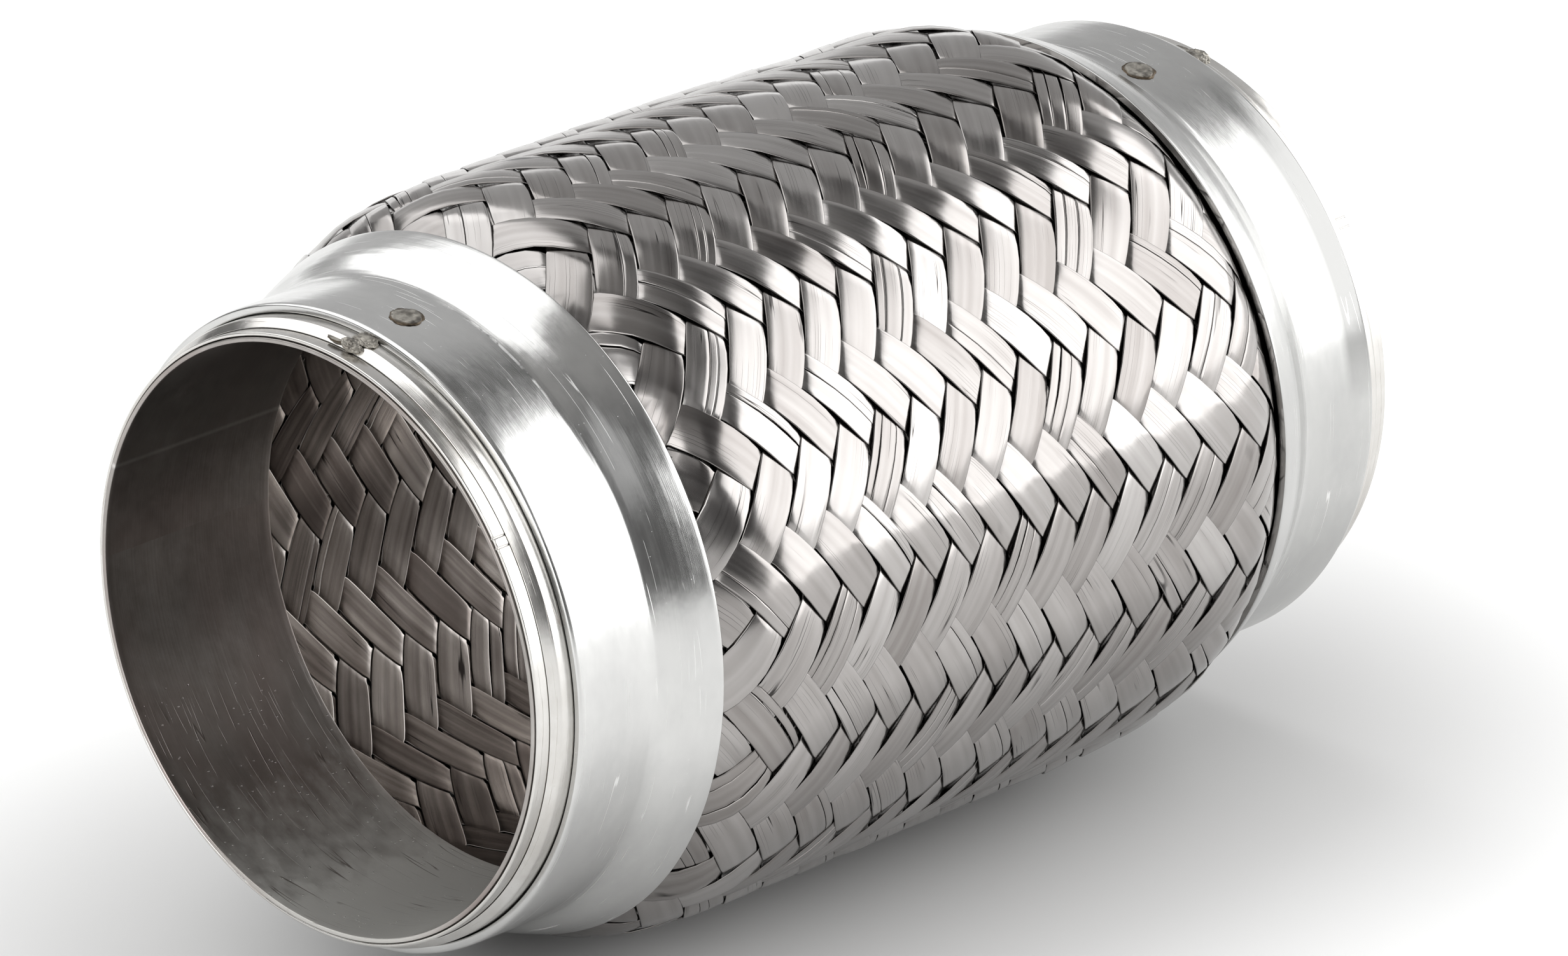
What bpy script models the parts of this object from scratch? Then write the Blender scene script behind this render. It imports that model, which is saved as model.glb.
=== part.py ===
"""Braided flexible exhaust coupling: a bellows between two woven wire sleeves, with a spun cap at each end.

The pipe axis runs along +X, +Z is up, and the origin is at the middle of the pipe.
Every turned piece is described by a closed outline of (station, radius) points, where a
station is the distance from the near mouth. The far end repeats the near end, mirrored.
The flexible middle is a chain of six short lengths between the two ends, with one joint
in each of the seven gaps.
"""
import math

import bmesh
import bpy
from mathutils import Matrix, Vector

MM = 0.001

# Driving dimensions
BORE_RADIUS = 25.4 * MM
OVERALL_LENGTH = 101.6 * MM
SLEEVE_LENGTH = 18.6 * MM
SLEEVE_WALL = 0.4 * MM
COLLAR_RADIUS = 27.8 * MM
CAP_WALL = 0.8 * MM
CAP_NOSE_STATION = 3.4 * MM
CREASE_STATION = 11.4 * MM
LIP_STATION = 17.2 * MM
LIP_RADIUS = 30.3 * MM
OUTER_BRAID_RADIUS = 32.85 * MM
OUTER_BRAID_WALL = 0.95 * MM
INNER_BRAID_RADIUS = 25.7 * MM
INNER_BRAID_WALL = 0.95 * MM
BELLOWS_ROOT_RADIUS = 26.9 * MM
BELLOWS_CROWN_RADIUS = 31.0 * MM
BELLOWS_WALL = 0.3 * MM
LAYER_GAP = 0.08 * MM

# The chain of joints along the flexible length
JOINT_COUNT = 7
JOINT_PITCH = 8.8 * MM
JOINT_GAP = 3.8 * MM
JOINT_NAMES = ("near_bend_y", "axial_1", "near_bend_z", "axial_2", "far_bend_y", "axial_3", "far_bend_z")

# Roundness: both counts are multiples of four, so that the outlines reach the full width and height
ROUND_STEPS = 36
BELLOWS_STEPS = 24

HALF_LENGTH = OVERALL_LENGTH / 2


def clear_scene():
    for old in list(bpy.data.objects):
        bpy.data.objects.remove(old, do_unlink=True)


def metal(name, colour, roughness):
    """A bare metal of one colour."""
    material = bpy.data.materials.new(name)
    material.use_nodes = True
    shader = material.node_tree.nodes["Principled BSDF"]
    shader.inputs["Base Color"].default_value = (*colour, 1.0)
    shader.inputs["Metallic"].default_value = 1.0
    shader.inputs["Roughness"].default_value = roughness
    return material


def joint_station(index):
    """Station of a joint, counted from 0 at the near end."""
    return HALF_LENGTH + (index - (JOINT_COUNT - 1) / 2) * JOINT_PITCH


def axis_empty(name, station, parent):
    """An empty on the pipe axis, for what turns or slides about that station."""
    empty = bpy.data.objects.new(name, None)
    empty.empty_display_size = 5 * MM
    bpy.context.collection.objects.link(empty)
    here = Vector((station - HALF_LENGTH, 0.0, 0.0))
    if parent is not None:
        empty.parent = parent
        here -= parent["pipe_x"] * Vector((1.0, 0.0, 0.0))
    empty.location = here
    empty["pipe_x"] = station - HALF_LENGTH
    return empty


def place(name, mesh, material, parent):
    """Link a mesh as a named object that rides on its joint's empty."""
    mesh.materials.append(material)
    piece = bpy.data.objects.new(name, mesh)
    bpy.context.collection.objects.link(piece)
    if parent is not None:
        mesh.transform(Matrix.Translation((-parent["pipe_x"], 0.0, 0.0)))
        piece.parent = parent
    return piece


def turned(name, outline, material, parent=None, steps=ROUND_STEPS, far=False):
    """Turn a closed outline of (station, radius) points about the pipe axis into a ring."""
    form = bmesh.new()
    rings = []
    for station, radius in outline:
        x = (HALF_LENGTH - station) if far else (station - HALF_LENGTH)
        ring = []
        for step in range(steps):
            angle = 2 * math.pi * step / steps
            ring.append(form.verts.new((x, radius * math.cos(angle), radius * math.sin(angle))))
        rings.append(ring)
    for ring, following in zip(rings, rings[1:] + rings[:1]):
        for step in range(steps):
            after = (step + 1) % steps
            form.faces.new((ring[step], ring[after], following[after], following[step]))
    bmesh.ops.recalc_face_normals(form, faces=form.faces)
    mesh = bpy.data.meshes.new(name)
    form.to_mesh(mesh)
    form.free()
    mesh.shade_smooth()
    mesh.set_sharp_from_angle(angle=math.radians(35))
    return place(name, mesh, material, parent)


def wall_outline(points, wall):
    """Close a sheet's outer line, given from the mouth inwards, with its inner line one wall deeper."""
    inner = [(station, radius - wall) for station, radius in reversed(points)]
    return list(points) + inner


# Outlines of the end pieces, all measured from the mouth

def cap_outline():
    """Spun cap: rolled nose, straight collar, crease, ogee flare and the large open lip."""
    flare = LIP_RADIUS - COLLAR_RADIUS
    run = LIP_STATION - CREASE_STATION
    outer = [
        (CAP_NOSE_STATION, COLLAR_RADIUS - CAP_WALL * 0.85),
        (CAP_NOSE_STATION + 0.35 * MM, COLLAR_RADIUS - 0.3 * MM),
        (CAP_NOSE_STATION + 1.2 * MM, COLLAR_RADIUS),
        (CREASE_STATION, COLLAR_RADIUS),
        (CREASE_STATION + 0.32 * run, COLLAR_RADIUS + 0.40 * flare),
        (CREASE_STATION + 0.62 * run, COLLAR_RADIUS + 0.82 * flare),
        (CREASE_STATION + 0.84 * run, LIP_RADIUS),
        (LIP_STATION, LIP_RADIUS - 0.05 * MM),
    ]
    inner = [
        (LIP_STATION, LIP_RADIUS - CAP_WALL),
        (CREASE_STATION + 0.64 * run, COLLAR_RADIUS + 0.82 * flare - CAP_WALL),
        (CREASE_STATION + 0.36 * run, COLLAR_RADIUS + 0.40 * flare - CAP_WALL),
        (CREASE_STATION + 0.1 * MM, COLLAR_RADIUS - CAP_WALL),
        (CAP_NOSE_STATION, COLLAR_RADIUS - CAP_WALL),
    ]
    return outer + inner


def sleeve_outline():
    """Inner sleeve that carries the bore, with square-cut ends."""
    outer = BORE_RADIUS + SLEEVE_WALL
    return [(0.0, BORE_RADIUS), (0.0, outer), (SLEEVE_LENGTH, outer), (SLEEVE_LENGTH, BORE_RADIUS)]


def cuff_outline():
    """Bellows cuff: tight on the sleeve at the mouth, stepping out over the inner braid to the first root."""
    tight = BORE_RADIUS + SLEEVE_WALL + LAYER_GAP + BELLOWS_WALL
    over_braid = 26.7 * MM
    last_root = BELLOWS_ROOT_RADIUS + BELLOWS_WALL
    return wall_outline([
        (0.3 * MM, tight),
        (8.0 * MM, tight),
        (9.2 * MM, over_braid),
        (19.0 * MM, over_braid),
        (20.4 * MM, last_root),
        (joint_station(0) - JOINT_GAP / 2, last_root),
    ], BELLOWS_WALL)


def inner_braid_end_outline():
    """Inner braid's clamped end, crushed between the sleeve and the cuff."""
    sleeve_outer = BORE_RADIUS + SLEEVE_WALL
    return [
        (9.4 * MM, sleeve_outer + LAYER_GAP),
        (9.4 * MM, 26.25 * MM),
        (19.2 * MM, 26.3 * MM),
        (20.6 * MM, INNER_BRAID_RADIUS + INNER_BRAID_WALL),
        (joint_station(0) - JOINT_GAP / 2, INNER_BRAID_RADIUS + INNER_BRAID_WALL),
        (joint_station(0) - JOINT_GAP / 2, INNER_BRAID_RADIUS),
        (SLEEVE_LENGTH + 1.0 * MM, INNER_BRAID_RADIUS),
        (SLEEVE_LENGTH + 0.4 * MM, sleeve_outer + LAYER_GAP),
    ]


def braid_radius(station):
    """Outer radius of the outer braid: it swells from under the lip to its full width."""
    from_mouth = min(station, OVERALL_LENGTH - station)
    lip_clear = LIP_RADIUS - CAP_WALL - 0.25 * MM
    rise = max(0.0, from_mouth - LIP_STATION)
    return lip_clear + (OUTER_BRAID_RADIUS - lip_clear) * (1 - math.exp(-rise / (2.9 * MM)))


def outer_braid_end_outline():
    """Outer braid's clamped end, crushed over the cuff and tucked in under the cap's lip."""
    crushed = 26.6 * MM
    last = joint_station(0) - JOINT_GAP / 2
    swelling = [LIP_STATION + part * (last - LIP_STATION) for part in (0.0, 0.3, 0.6, 1.0)]
    outer = [(2.0 * MM, crushed), (8.0 * MM, crushed), (9.3 * MM, 26.93 * MM), (11.8 * MM, 26.93 * MM)]
    inner = [(11.8 * MM, 26.76 * MM), (9.0 * MM, 26.78 * MM), (7.8 * MM, 26.27 * MM), (2.0 * MM, 26.27 * MM)]
    outer += [(station, braid_radius(station)) for station in swelling]
    inner = [(station, braid_radius(station) - OUTER_BRAID_WALL) for station in reversed(swelling)] + inner
    return outer + inner


def retaining_ring_outline():
    """Thin ring that holds the outer braid's wires down on the cuff, just inside the cap's nose."""
    return [
        (2.5 * MM, 26.68 * MM),
        (2.3 * MM, 26.8 * MM),
        (2.5 * MM, 26.93 * MM),
        (7.6 * MM, 26.93 * MM),
        (7.6 * MM, 26.68 * MM),
    ]


# The flexible middle

def braid_length(name, first, last, radius_at, wall, material, parent):
    """A short length of braid, as a plain tube between two stations."""
    middle = (first + last) / 2
    outer = [(station, radius_at(station)) for station in (first, middle, last)]
    inner = [(last, radius_at(last) - wall), (first, radius_at(first) - wall)]
    return turned(name, outer + inner, material, parent)


def convolution_outline(centre, half_width):
    """One bellows convolution in thin sheet, with half a root on each side of it."""
    leg = 1.25 * MM
    crown = 0.55 * MM
    outer = [
        (centre - half_width, BELLOWS_ROOT_RADIUS + BELLOWS_WALL),
        (centre - leg, BELLOWS_ROOT_RADIUS + BELLOWS_WALL),
        (centre - crown, BELLOWS_CROWN_RADIUS),
        (centre + crown, BELLOWS_CROWN_RADIUS),
        (centre + leg, BELLOWS_ROOT_RADIUS + BELLOWS_WALL),
        (centre + half_width, BELLOWS_ROOT_RADIUS + BELLOWS_WALL),
    ]
    inner = [
        (centre + half_width, BELLOWS_ROOT_RADIUS),
        (centre + leg - BELLOWS_WALL, BELLOWS_ROOT_RADIUS),
        (centre + crown - BELLOWS_WALL, BELLOWS_CROWN_RADIUS - BELLOWS_WALL),
        (centre - crown + BELLOWS_WALL, BELLOWS_CROWN_RADIUS - BELLOWS_WALL),
        (centre - leg + BELLOWS_WALL, BELLOWS_ROOT_RADIUS),
        (centre - half_width, BELLOWS_ROOT_RADIUS),
    ]
    return outer + inner


def weld_bead(name, station, radius, angle, half_size, material, parent=None, far=False):
    """A small rounded bead of weld metal, given by its centre and its three half sizes."""
    form = bmesh.new()
    bmesh.ops.create_uvsphere(form, u_segments=10, v_segments=6, radius=1.0)
    x = (HALF_LENGTH - station) if far else (station - HALF_LENGTH)
    shape = Matrix.Translation((x, 0.0, 0.0)) @ Matrix.Rotation(angle - math.pi / 2, 4, "X")
    shape @= Matrix.Translation((0.0, 0.0, radius)) @ Matrix.Diagonal((*half_size, 1.0))
    bmesh.ops.transform(form, matrix=shape, verts=form.verts)
    mesh = bpy.data.meshes.new(name)
    form.to_mesh(mesh)
    form.free()
    mesh.shade_smooth()
    return place(name, mesh, material, parent)


def build_end(side, finishes, parent=None):
    """All the pieces of one rigid end."""
    far = side == "far"
    spot_angle = math.radians(102.1 if far else 97.1)
    spot_station = (9.8 if far else 7.4) * MM
    edge_half_size = (0.7 * MM, 1.2 * MM, 0.55 * MM)
    spot_half_size = (1.3 * MM, 1.7 * MM, 0.18 * MM)
    spot_radius = COLLAR_RADIUS + spot_half_size[2] + 0.02 * MM
    turned(side + "_end_cap", cap_outline(), finishes["cap"], parent, far=far)
    turned(side + "_inner_sleeve", sleeve_outline(), finishes["sleeve"], parent, far=far)
    turned(side + "_bellows_cuff", cuff_outline(), finishes["bellows"], parent, far=far)
    turned(side + "_inner_braid_end", inner_braid_end_outline(), finishes["inner_braid"], parent, far=far)
    turned(side + "_outer_braid_end", outer_braid_end_outline(), finishes["outer_braid"], parent, far=far)
    turned(side + "_retaining_ring", retaining_ring_outline(), finishes["sleeve"], parent, far=far)
    weld_bead(side + "_edge_weld", 1.15 * MM, 26.95 * MM, spot_angle, edge_half_size,
              finishes["weld"], parent, far)
    weld_bead(side + "_spot_weld", spot_station, spot_radius, spot_angle, spot_half_size,
              finishes["weld"], parent, far)


def build_length(number, finishes, parent):
    """One short length of the flexible middle: braid, bellows convolution and liner."""
    first = joint_station(number - 1) + JOINT_GAP / 2
    last = joint_station(number) - JOINT_GAP / 2
    centre = (first + last) / 2
    braid_length("outer_braid_%d" % number, first, last, braid_radius, OUTER_BRAID_WALL,
                 finishes["outer_braid"], parent)
    braid_length("inner_braid_%d" % number, first, last, lambda station: INNER_BRAID_RADIUS + INNER_BRAID_WALL,
                 INNER_BRAID_WALL, finishes["inner_braid"], parent)
    turned("bellows_convolution_%d" % number, convolution_outline(centre, (last - first) / 2),
           finishes["bellows"], parent, steps=BELLOWS_STEPS)


def build():
    clear_scene()
    finishes = {
        "cap": metal("satin_stainless_cap", (0.62, 0.61, 0.59), 0.24),
        "sleeve": metal("dull_stainless_sleeve", (0.42, 0.40, 0.38), 0.38),
        "bellows": metal("bright_stainless_bellows", (0.66, 0.65, 0.63), 0.22),
        "outer_braid": metal("outer_braid_wire", (0.55, 0.53, 0.51), 0.30),
        "inner_braid": metal("inner_braid_wire", (0.38, 0.36, 0.34), 0.34),
        "weld": metal("weld_metal", (0.34, 0.29, 0.24), 0.5),
    }
    build_end("near", finishes)
    carrier = None
    for index, joint_name in enumerate(JOINT_NAMES):
        carrier = axis_empty(joint_name + "_axis", joint_station(index), carrier)
        if index < JOINT_COUNT - 1:
            build_length(index + 1, finishes, carrier)
    build_end("far", finishes, carrier)


build()
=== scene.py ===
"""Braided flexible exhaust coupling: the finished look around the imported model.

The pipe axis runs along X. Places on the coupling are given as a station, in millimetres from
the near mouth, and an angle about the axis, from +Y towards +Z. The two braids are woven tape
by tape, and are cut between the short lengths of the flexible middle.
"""

import math

import bmesh
import bpy
import numpy as np
from mathutils import Matrix, Vector, noise


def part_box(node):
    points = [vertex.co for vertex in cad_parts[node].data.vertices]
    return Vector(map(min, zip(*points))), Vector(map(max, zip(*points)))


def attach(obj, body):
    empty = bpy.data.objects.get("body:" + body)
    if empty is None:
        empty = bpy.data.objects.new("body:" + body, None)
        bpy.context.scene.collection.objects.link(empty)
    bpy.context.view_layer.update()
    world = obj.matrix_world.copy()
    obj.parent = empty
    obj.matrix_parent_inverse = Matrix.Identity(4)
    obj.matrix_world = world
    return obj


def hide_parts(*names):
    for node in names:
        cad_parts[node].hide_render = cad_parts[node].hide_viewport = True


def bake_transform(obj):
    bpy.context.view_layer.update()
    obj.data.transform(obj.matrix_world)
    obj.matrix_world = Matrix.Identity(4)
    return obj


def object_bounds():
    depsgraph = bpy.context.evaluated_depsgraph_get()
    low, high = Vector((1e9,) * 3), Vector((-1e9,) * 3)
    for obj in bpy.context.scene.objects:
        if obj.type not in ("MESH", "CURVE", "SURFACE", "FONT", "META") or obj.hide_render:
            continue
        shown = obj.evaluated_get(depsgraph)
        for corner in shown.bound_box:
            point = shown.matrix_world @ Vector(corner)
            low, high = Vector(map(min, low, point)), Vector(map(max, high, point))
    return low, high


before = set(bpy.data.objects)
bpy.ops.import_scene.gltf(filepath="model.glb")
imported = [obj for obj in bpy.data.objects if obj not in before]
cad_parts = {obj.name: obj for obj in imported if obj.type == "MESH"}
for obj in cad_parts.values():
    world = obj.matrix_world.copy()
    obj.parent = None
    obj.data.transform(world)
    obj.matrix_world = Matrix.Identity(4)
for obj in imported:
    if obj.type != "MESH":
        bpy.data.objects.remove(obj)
cad_low, cad_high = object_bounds()

MM = 0.001
LENGTH = (cad_high.x - cad_low.x) / MM
SEED = 20

# Radii and stations, in millimetres
SLEEVE_WALL = 0.4
BORE_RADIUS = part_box("near_inner_sleeve")[1].z / MM - SLEEVE_WALL
SLEEVE_LENGTH = 18.6
COLLAR_RADIUS = 27.8
CAP_WALL = 0.8
CAP_NOSE = 3.4
CREASE = 11.4
LIP = 17.2
LIP_RADIUS = 30.3
# The cap's flare from its crease to its lip, as parts of the length and of the rise
FLARE = [(0.0, 0.0), (0.10, 0.045), (0.20, 0.15), (0.32, 0.315), (0.45, 0.51), (0.58, 0.655),
         (0.70, 0.765), (0.80, 0.845), (0.90, 0.925), (1.0, 1.0)]
BRAID_RADIUS = cad_high.z / MM
RADIUS_AT_LIP = 29.4
SAG_STATION = 69.0
INNER_RADIUS = 26.2
INNER_RISE = 0.075
OUTER_BRAID_START = 13.3
INNER_BRAID_START = 14.0
ROOT_RADIUS = 26.9
CROWN_RADIUS = 31.0
BELLOWS_WALL = 0.3
BELLOWS_START = 22.2
CONVOLUTION_PITCH = 4.4
# The radius at which a turn round the pipe is measured on the surface map
TURN_RADIUS = 27.0

# The flexible middle: its bodies, and each length's centre, where the woven pieces are cut
LENGTHS = ["length_%d" % number for number in range(1, 7)]
CENTRES = [28.8 + 8.8 * number for number in range(6)]

# Angles about the axis
SAG_ANGLE = math.radians(254.0)
LAP_ANGLES = [math.radians(144.1), math.radians(146.0)]
LAP_GROOVE = math.radians(0.13)
SEAM_ANGLE = math.radians(19.7)
# Where the painted highlight along the near cap's crease is centred
CREASE_HIGHLIGHT_ANGLE = math.radians(112)
# Where the painted dim reflection on the far cap is centred
DIM_REFLECTION_ANGLE = math.radians(143)


def x_at(station):
    return cad_low.x + station * MM


def around(station, angle, radius):
    """Points in metres from stations, angles and radii."""
    y, z = radius * np.cos(angle) * MM, radius * np.sin(angle) * MM
    return np.stack([cad_low.x + station * MM, y, z], -1)


def ease(value):
    value = np.clip(value, 0.0, 1.0)
    return value * value * (3 - 2 * value)


# Meshes

def mesh_from_grid(name, points, uv, close_across, shades=None):
    """One mesh from a stack of grids (sheets, rows, columns, 3), each row closed on itself."""
    sheets, rows, columns = points.shape[:3]
    index = np.arange(sheets * rows * columns).reshape(sheets, rows, columns)
    if close_across:
        index = np.concatenate([index, index[:, :1]], 1)
    beside = np.roll(index, -1, 2)
    quads = np.stack([index[:, :-1], beside[:, :-1], beside[:, 1:], index[:, 1:]], -1).reshape(-1, 4)
    flat = points.reshape(-1, 3)
    a, b, c, d = (flat[quads[:, corner]] for corner in range(4))
    volume = np.einsum("ij,ij->i", a, np.cross(b, c) + np.cross(c, d)).sum()
    mesh = bpy.data.meshes.new(name)
    mesh.vertices.add(len(flat))
    mesh.vertices.foreach_set("co", flat.astype(np.float32).ravel())
    corners = uv.reshape(-1, 4, 2)
    if volume < 0:
        quads, corners = quads[:, ::-1], corners[:, ::-1]
    mesh.loops.add(quads.size)
    mesh.loops.foreach_set("vertex_index", quads.astype(np.int32).ravel())
    mesh.polygons.add(len(quads))
    mesh.polygons.foreach_set("loop_start", np.arange(0, quads.size, 4, dtype=np.int32))
    mesh.update(calc_edges=True)
    layer = mesh.uv_layers.new(name="surface")
    layer.data.foreach_set("uv", corners.astype(np.float32).ravel())
    if shades is not None:
        attribute = mesh.attributes.new("tone", "FLOAT", "POINT")
        attribute.data.foreach_set("value", shades.astype(np.float32).ravel())
    mesh.shade_smooth()
    return mesh


def piece(name, mesh, material):
    mesh.materials.clear()
    mesh.materials.append(material)
    made = bpy.data.objects.new(name, mesh)
    bpy.context.collection.objects.link(made)
    return made


def rounded(outline, radius, steps=4):
    """A closed outline with each corner cut back and rounded, and its long edges divided."""
    corners = [Vector(point) for point in outline]
    most, longest = 0.45, 0.7
    softened = []
    for number, corner in enumerate(corners):
        before, after = corners[number - 1] - corner, corners[(number + 1) % len(corners)] - corner
        start = corner + before.normalized() * min(radius, most * before.length)
        end = corner + after.normalized() * min(radius, most * after.length)
        for step in range(steps + 1):
            t = step / steps
            softened.append(start * (1 - t) ** 2 + corner * (2 * t * (1 - t)) + end * t ** 2)
    dense = []
    for point, following in zip(softened, softened[1:] + softened[:1]):
        parts = max(1, int((following - point).length / longest))
        dense += [point.lerp(following, part / parts) for part in range(parts)]
    return dense


def turned(name, outline, material, far=False, segments=256, uneven=None, extra_angles=()):
    """Turn a closed outline about the pipe axis; uneven(station, angle) moves its radius."""
    profile = np.array([tuple(point) for point in outline])
    angle = np.linspace(0, 2 * math.pi, segments, endpoint=False)
    angle = np.union1d(angle, extra_angles)
    segments = len(angle)
    station = np.repeat(profile[:, :1], segments, 1)
    radius = np.repeat(profile[:, 1:], segments, 1)
    if uneven is not None:
        radius = radius + uneven(station, angle[None, :])
    if far:
        station = LENGTH - station
    steps = np.linalg.norm(np.diff(np.vstack([profile, profile[:1]]), axis=0), axis=1)
    run = np.concatenate([[0], np.cumsum(steps)])
    turn = np.append(angle, 2 * math.pi) * TURN_RADIUS
    rows, columns = np.meshgrid(run, turn, indexing="ij")
    sheet = np.stack([columns, rows], -1)
    uv = np.stack([sheet[:-1, :-1], sheet[:-1, 1:], sheet[1:, 1:], sheet[1:, :-1]], 2)
    points = around(station, np.broadcast_to(angle, station.shape), radius)
    mesh = mesh_from_grid(name, points[None], uv, close_across=True)
    return piece(name, mesh, material)


# Weaving

class Weave:
    """A two-over-two braid of flat tapes: its lattice, its radius and the form of its tapes.

    count is the number of tapes each way, first_angle (degrees) and origin (a station) place one
    crossing, and pitch, radius and rise are functions of the station (radius also of the angle).
    Widths and dips are parts of the space between tapes; thickness, crown and twist are in
    millimetres. flat is how much each float is level, from 0 (a wave) to 1, and loose is how much
    the tapes wander.
    """

    def __init__(self, name, count, first_angle, origin, pitch, radius, rise, thickness, width,
                 inward, seed, flat, dip, crown, twist, loose):
        self.name, self.count, self.inward = name, count, inward
        self.flat, self.dip, self.crown, self.twist, self.loose = flat, dip, crown, twist, loose
        self.step = 2 * math.pi / count
        self.first_angle = math.radians(first_angle)
        self.radius, self.rise, self.thickness, self.width = radius, rise, thickness, width
        beyond = 20.0
        stations = np.linspace(-beyond, LENGTH + beyond, 2000)
        turns = np.concatenate([[0], np.cumsum(np.diff(stations) / pitch(stations[1:]))])
        self.stations, self.turns = stations, turns - np.interp(origin, stations, turns)
        self.random = np.random.default_rng(seed)

    def station(self, turns):
        return np.interp(turns, self.turns, self.stations)


# Along a tape, in crossings: where its points lie in each period of four
PERIOD = 4.0
FLOAT_SAMPLES = np.array([-1.2, -1.12, -1.05, -0.98, -0.88, -0.6, -0.2, 0.2, 0.6, 0.88, 0.98, 1.05,
                          1.12, 1.2, 1.6, 2.4])
# Across a tape, in half widths, and the height there, in half thicknesses
TAPE_TOP = np.array([-1.0, -0.975, -0.93, -0.6, -0.2, 0.2, 0.6, 0.93, 0.975, 1.0])
TAPE_TOP_HEIGHT = np.array([0.0, 0.8, 1.0, 1.0, 1.0, 1.0, 1.0, 1.0, 0.8, 0.0])
TAPE_BASE = np.array([0.9, 0.0, -0.9])
# The surface map of a tape, in millimetres: one crossing, half a width, and the step between ribbons
MAP_CROSSING = 3.7
MAP_HALF_WIDTH = 1.65
MAP_RIBBON = 8.0


def float_height(phase, flat):
    """From 1 in the middle of an over float to -1 in the middle of an under float, four apart."""
    wrapped = np.abs((phase + 2.0) % PERIOD - 2.0)
    level = 1.0 - 2.0 * ease((wrapped - 0.88) / 0.34)
    return flat * level + (1 - flat) * np.cos(0.5 * math.pi * wrapped)


def float_width(phase, dip):
    """How much a tape's width varies along it: a little narrower where it dives under another."""
    wrapped = np.abs((phase + 2.0) % PERIOD - 2.0)
    return 0.012 * np.cos(math.pi * wrapped) - dip * np.exp(-((wrapped - 1.0) / 0.13) ** 2)


def drift(random, along, period, size):
    """A smooth random line through each row of places, with about one swing in each period."""
    first, last = along.min(), along.max()
    knots = np.arange(first - period, last + 2 * period, period)
    values = random.normal(0.0, size, (len(along), len(knots)))
    made = np.empty_like(along)
    for row in range(len(along)):
        place = (along[row] - knots[0]) / period
        low = place.astype(int)
        t = ease(place - low)
        made[row] = values[row, low] * (1 - t) + values[row, low + 1] * t
    return made


def tapes(weave, family, splits, first, last):
    """Closed tapes of one family, 1 or -1. splits gives the inner edges of each ribbon that is
    more than one tape: their place across it, and a function for the gap there.
    """
    random = weave.random
    turns = np.interp([first, last], weave.stations, weave.turns)
    periods = int((2 * (turns[1] - turns[0]) + 3.0) // 4) + 2
    samples = (FLOAT_SAMPLES[None, :] + PERIOD * np.arange(periods)[:, None]).ravel()
    start = 2 * turns[0] - 1.5
    ribbons = np.arange(weave.count)
    offset = (0.5 - 2.0 * ribbons) if family > 0 else (2.0 * ribbons - 2.5)
    base = offset + PERIOD * np.floor((start - offset) / PERIOD)
    along = base[:, None] + samples[None, :]
    phase = np.broadcast_to(samples, along.shape)
    over = float_height(phase, weave.flat)
    shift = drift(random, along, 3.0, 0.018)
    half = 0.5 * (weave.width + float_width(phase, weave.dip)) * (1 + drift(random, along, 4.0, 0.008))
    tilt = drift(random, along, 4.0, 0.06 * weave.loose)
    lift = drift(random, along, 4.0, 0.024 * weave.loose)
    shade = random.normal(0.0, 0.6, (weave.count, 1)) + drift(random, along, 4.0, 0.55)
    ring = np.concatenate([TAPE_TOP, TAPE_BASE])
    body = np.concatenate([TAPE_TOP_HEIGHT, [-0.9, -1.0, -0.9]])
    # The edge beside a neighbour that is under hangs down: one edge early in a float, the other late
    twist = -family * weave.twist * np.sin(0.5 * math.pi * phase)
    grids, covers, tones = [], [], []
    for ribbon in range(weave.count):
        edges = [(-1.0, None), *splits.get(ribbon, []), (1.0, None)]
        for left, right in zip(edges, edges[1:]):
            low = left[0] + (0 if left[1] is None else left[1](along[ribbon]))
            high = right[0] - (0 if right[1] is None else right[1](along[ribbon]))
            low = np.broadcast_to(low, phase[ribbon].shape)
            high = np.broadcast_to(high, phase[ribbon].shape)
            place = low[:, None] + (high - low)[:, None] * (ring[None, :] + 1) / 2
            side = place * half[ribbon][:, None] + shift[ribbon][:, None]
            c = along[ribbon][:, None]
            if family > 0:
                turn, angle = (c - side) / 2, (2 * ribbon + side + c) * weave.step / 2
            else:
                turn, angle = (c + side) / 2, (2 * ribbon + side - c) * weave.step / 2
            station = weave.station(turn)
            rise = weave.rise(station)
            thickness = weave.thickness * np.minimum(1.0, rise / weave.rise(LENGTH / 2))
            proud = rise * over[ribbon][:, None] + 0.5 * thickness * body[None, :]
            proud += np.maximum(over[ribbon], 0)[:, None] * (
                (tilt + twist)[ribbon][:, None] * place + np.abs(lift[ribbon])[:, None])
            proud += weave.crown * (1 - place ** 2)
            radius = weave.radius(station, weave.first_angle + angle)
            radius = radius - proud if weave.inward else radius + proud
            grids.append(around(station, weave.first_angle + angle, radius))
            long_way = np.broadcast_to(c * MAP_CROSSING + 60.0 * (ribbon % 7), place.shape)
            across = place * MAP_HALF_WIDTH + MAP_RIBBON * ribbon + (400 if family < 0 else 0)
            covers.append(np.stack([long_way, across], -1))
            tones.append(np.broadcast_to(shade[ribbon][:, None] + 0.25 * low[:, None], place.shape))
    points, cover, tone = np.stack(grids), np.stack(covers), np.stack(tones)
    following = np.roll(cover, -1, 2)
    uv = np.stack([cover[:, :-1], following[:, :-1], following[:, 1:], cover[:, 1:]], 3)
    return mesh_from_grid("%s_family" % weave.name, points, uv, close_across=False, shades=tone)


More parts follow.
